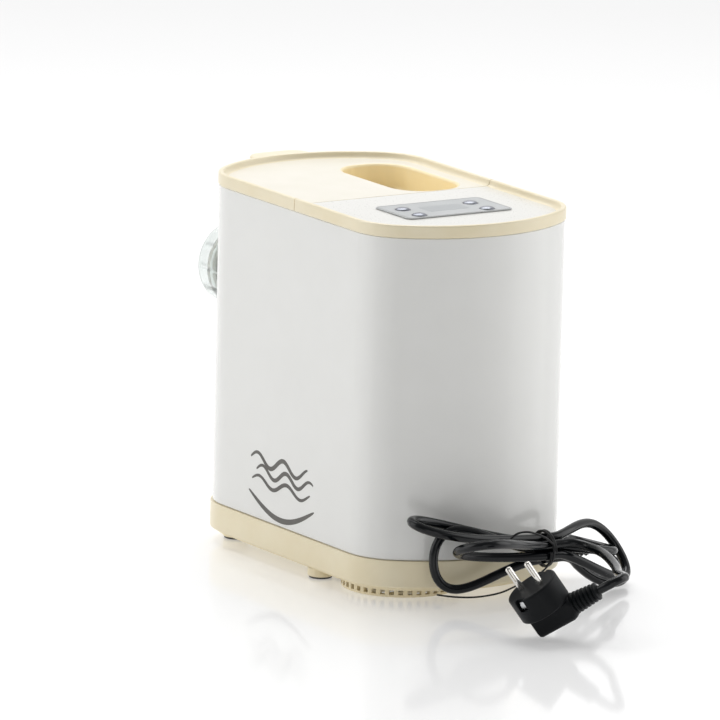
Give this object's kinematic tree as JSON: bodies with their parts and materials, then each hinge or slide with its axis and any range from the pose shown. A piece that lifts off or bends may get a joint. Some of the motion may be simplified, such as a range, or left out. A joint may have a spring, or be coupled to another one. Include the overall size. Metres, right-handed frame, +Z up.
{
  "type": "electric pasta maker",
  "caption": "Tabletop electric pasta maker: tall body on a vented base, lift-off lid over a mixing bowl, geared screw extruder with front nut, control panel and a corded plug.",
  "frame": {"origin": "centre of the bounding box's bottom face, without the cord, in the plane of the feet", "axes": "+Z up, -Y to the extruder nut at the front, +Y to the control panel at the rear, +X to the side that bears the plain decoration"},
  "size_m": [0.207, 0.5231, 0.277],
  "materials": {
    "white_plastic": "glossy white plastic",
    "cream_plastic": "smooth cream plastic",
    "pale_cream": "smooth pale cream plastic",
    "silver_panel": "satin silver-grey film",
    "display": "unlit display window",
    "button_metal": "satin metal-look caps",
    "clear_plastic": "transparent grey-green plastic",
    "steel": "plain steel",
    "nylon": "white engineering plastic",
    "rubber": "dark rubber",
    "bronze": "sintered bronze",
    "copper": "enamelled copper wire",
    "board": "green circuit board",
    "black_plastic": "black moulded plastic",
    "black_cord": "smooth black cord sheath",
    "nickel": "nickel-plated brass",
    "aluminium": "cast and pressed aluminium"
  },
  "bodies": {
    "housing": {"body_shell": "white_plastic", "base_tray": "cream_plastic", "base_vent_ring": "cream_plastic", "foot_front_left": "rubber", "foot_front_right": "rubber", "foot_rear_left": "rubber", "foot_rear_right": "rubber", "base_screw_1": "steel", "base_screw_2": "steel", "base_screw_3": "steel", "base_screw_4": "steel", "mixing_bowl": "clear_plastic", "rear_deck": "pale_cream", "lid_sensor": "black_plastic", "control_overlay": "silver_panel", "display_window": "display", "control_board": "board", "extruder_barrel": "clear_plastic", "front_collar": "pale_cream", "die_disc": "nylon", "shaft_seal": "rubber", "front_bush": "bronze", "rear_bush": "bronze", "support_frame": "aluminium", "gearbox_rear_plate": "aluminium", "motor_cradle": "steel", "intermediate_axle": "steel", "motor_stator": "aluminium", "field_winding_left": "copper", "field_winding_right": "copper", "motor_front_bracket": "aluminium", "motor_rear_bracket": "aluminium", "brush_left": "black_plastic", "brush_right": "black_plastic", "mains_board": "board", "filter_capacitor": "black_plastic", "transformer": "steel", "strain_relief": "black_plastic", "cord_lead": "black_cord", "cord_hank": "black_cord", "cord_tie": "black_plastic", "cord_plug_lead": "black_cord", "plug_body": "black_plastic", "plug_pin_left": "nickel", "plug_pin_right": "nickel"},
    "lid": {"lid": "pale_cream", "lid_seal": "rubber", "lid_magnet": "steel"},
    "nut": {"extruder_nut": "clear_plastic"},
    "button_1": {"button_1": "button_metal"},
    "button_2": {"button_2": "button_metal"},
    "button_3": {"button_3": "button_metal"},
    "button_4": {"button_4": "button_metal"},
    "screw": {"mixing_screw": "nylon", "output_shaft": "steel", "output_gear": "nylon"},
    "intermediate": {"intermediate_gear": "nylon"},
    "rotor": {"motor_rotor": "steel", "motor_pinion": "steel", "motor_fan": "nylon"}
  },
  "joints": [
    {"name": "lid_lift", "type": "slide", "parent": "housing", "child": "lid", "axis": [0, 0, 1], "range_m": [0, 0.08]},
    {"name": "nut_turn", "type": "hinge", "parent": "housing", "child": "nut", "pos_m": [0, -0.15, 0.183], "axis": [0, -1, 0], "range_deg": [0, 60]},
    {"name": "button_1_press", "type": "slide", "parent": "housing", "child": "button_1", "axis": [0, 0, -1], "range_m": [0, 0.0012], "stiffness_N_per_m": 900, "springref_m": -0.0006},
    {"name": "button_2_press", "type": "slide", "parent": "housing", "child": "button_2", "axis": [0, 0, -1], "range_m": [0, 0.0012], "stiffness_N_per_m": 900, "springref_m": -0.0006},
    {"name": "button_3_press", "type": "slide", "parent": "housing", "child": "button_3", "axis": [0, 0, -1], "range_m": [0, 0.0012], "stiffness_N_per_m": 900, "springref_m": -0.0006},
    {"name": "button_4_press", "type": "slide", "parent": "housing", "child": "button_4", "axis": [0, 0, -1], "range_m": [0, 0.0012], "stiffness_N_per_m": 900, "springref_m": -0.0006},
    {"name": "rotor_spin", "type": "hinge", "parent": "housing", "child": "rotor", "pos_m": [0.03, 0.112, 0.088], "axis": [0, 1, 0], "continuous": true},
    {"name": "intermediate_spin", "type": "hinge", "parent": "housing", "child": "intermediate", "pos_m": [0.02258, 0.061, 0.12985], "axis": [0, 1, 0], "continuous": true},
    {"name": "screw_spin", "type": "hinge", "parent": "housing", "child": "screw", "pos_m": [0, 0, 0.183], "axis": [0, 1, 0], "continuous": true}
  ],
  "couplings": [
    {"joint": "intermediate_spin", "follows": "rotor_spin", "ratio": -0.21429},
    {"joint": "screw_spin", "follows": "rotor_spin", "ratio": 0.057692}
  ]
}
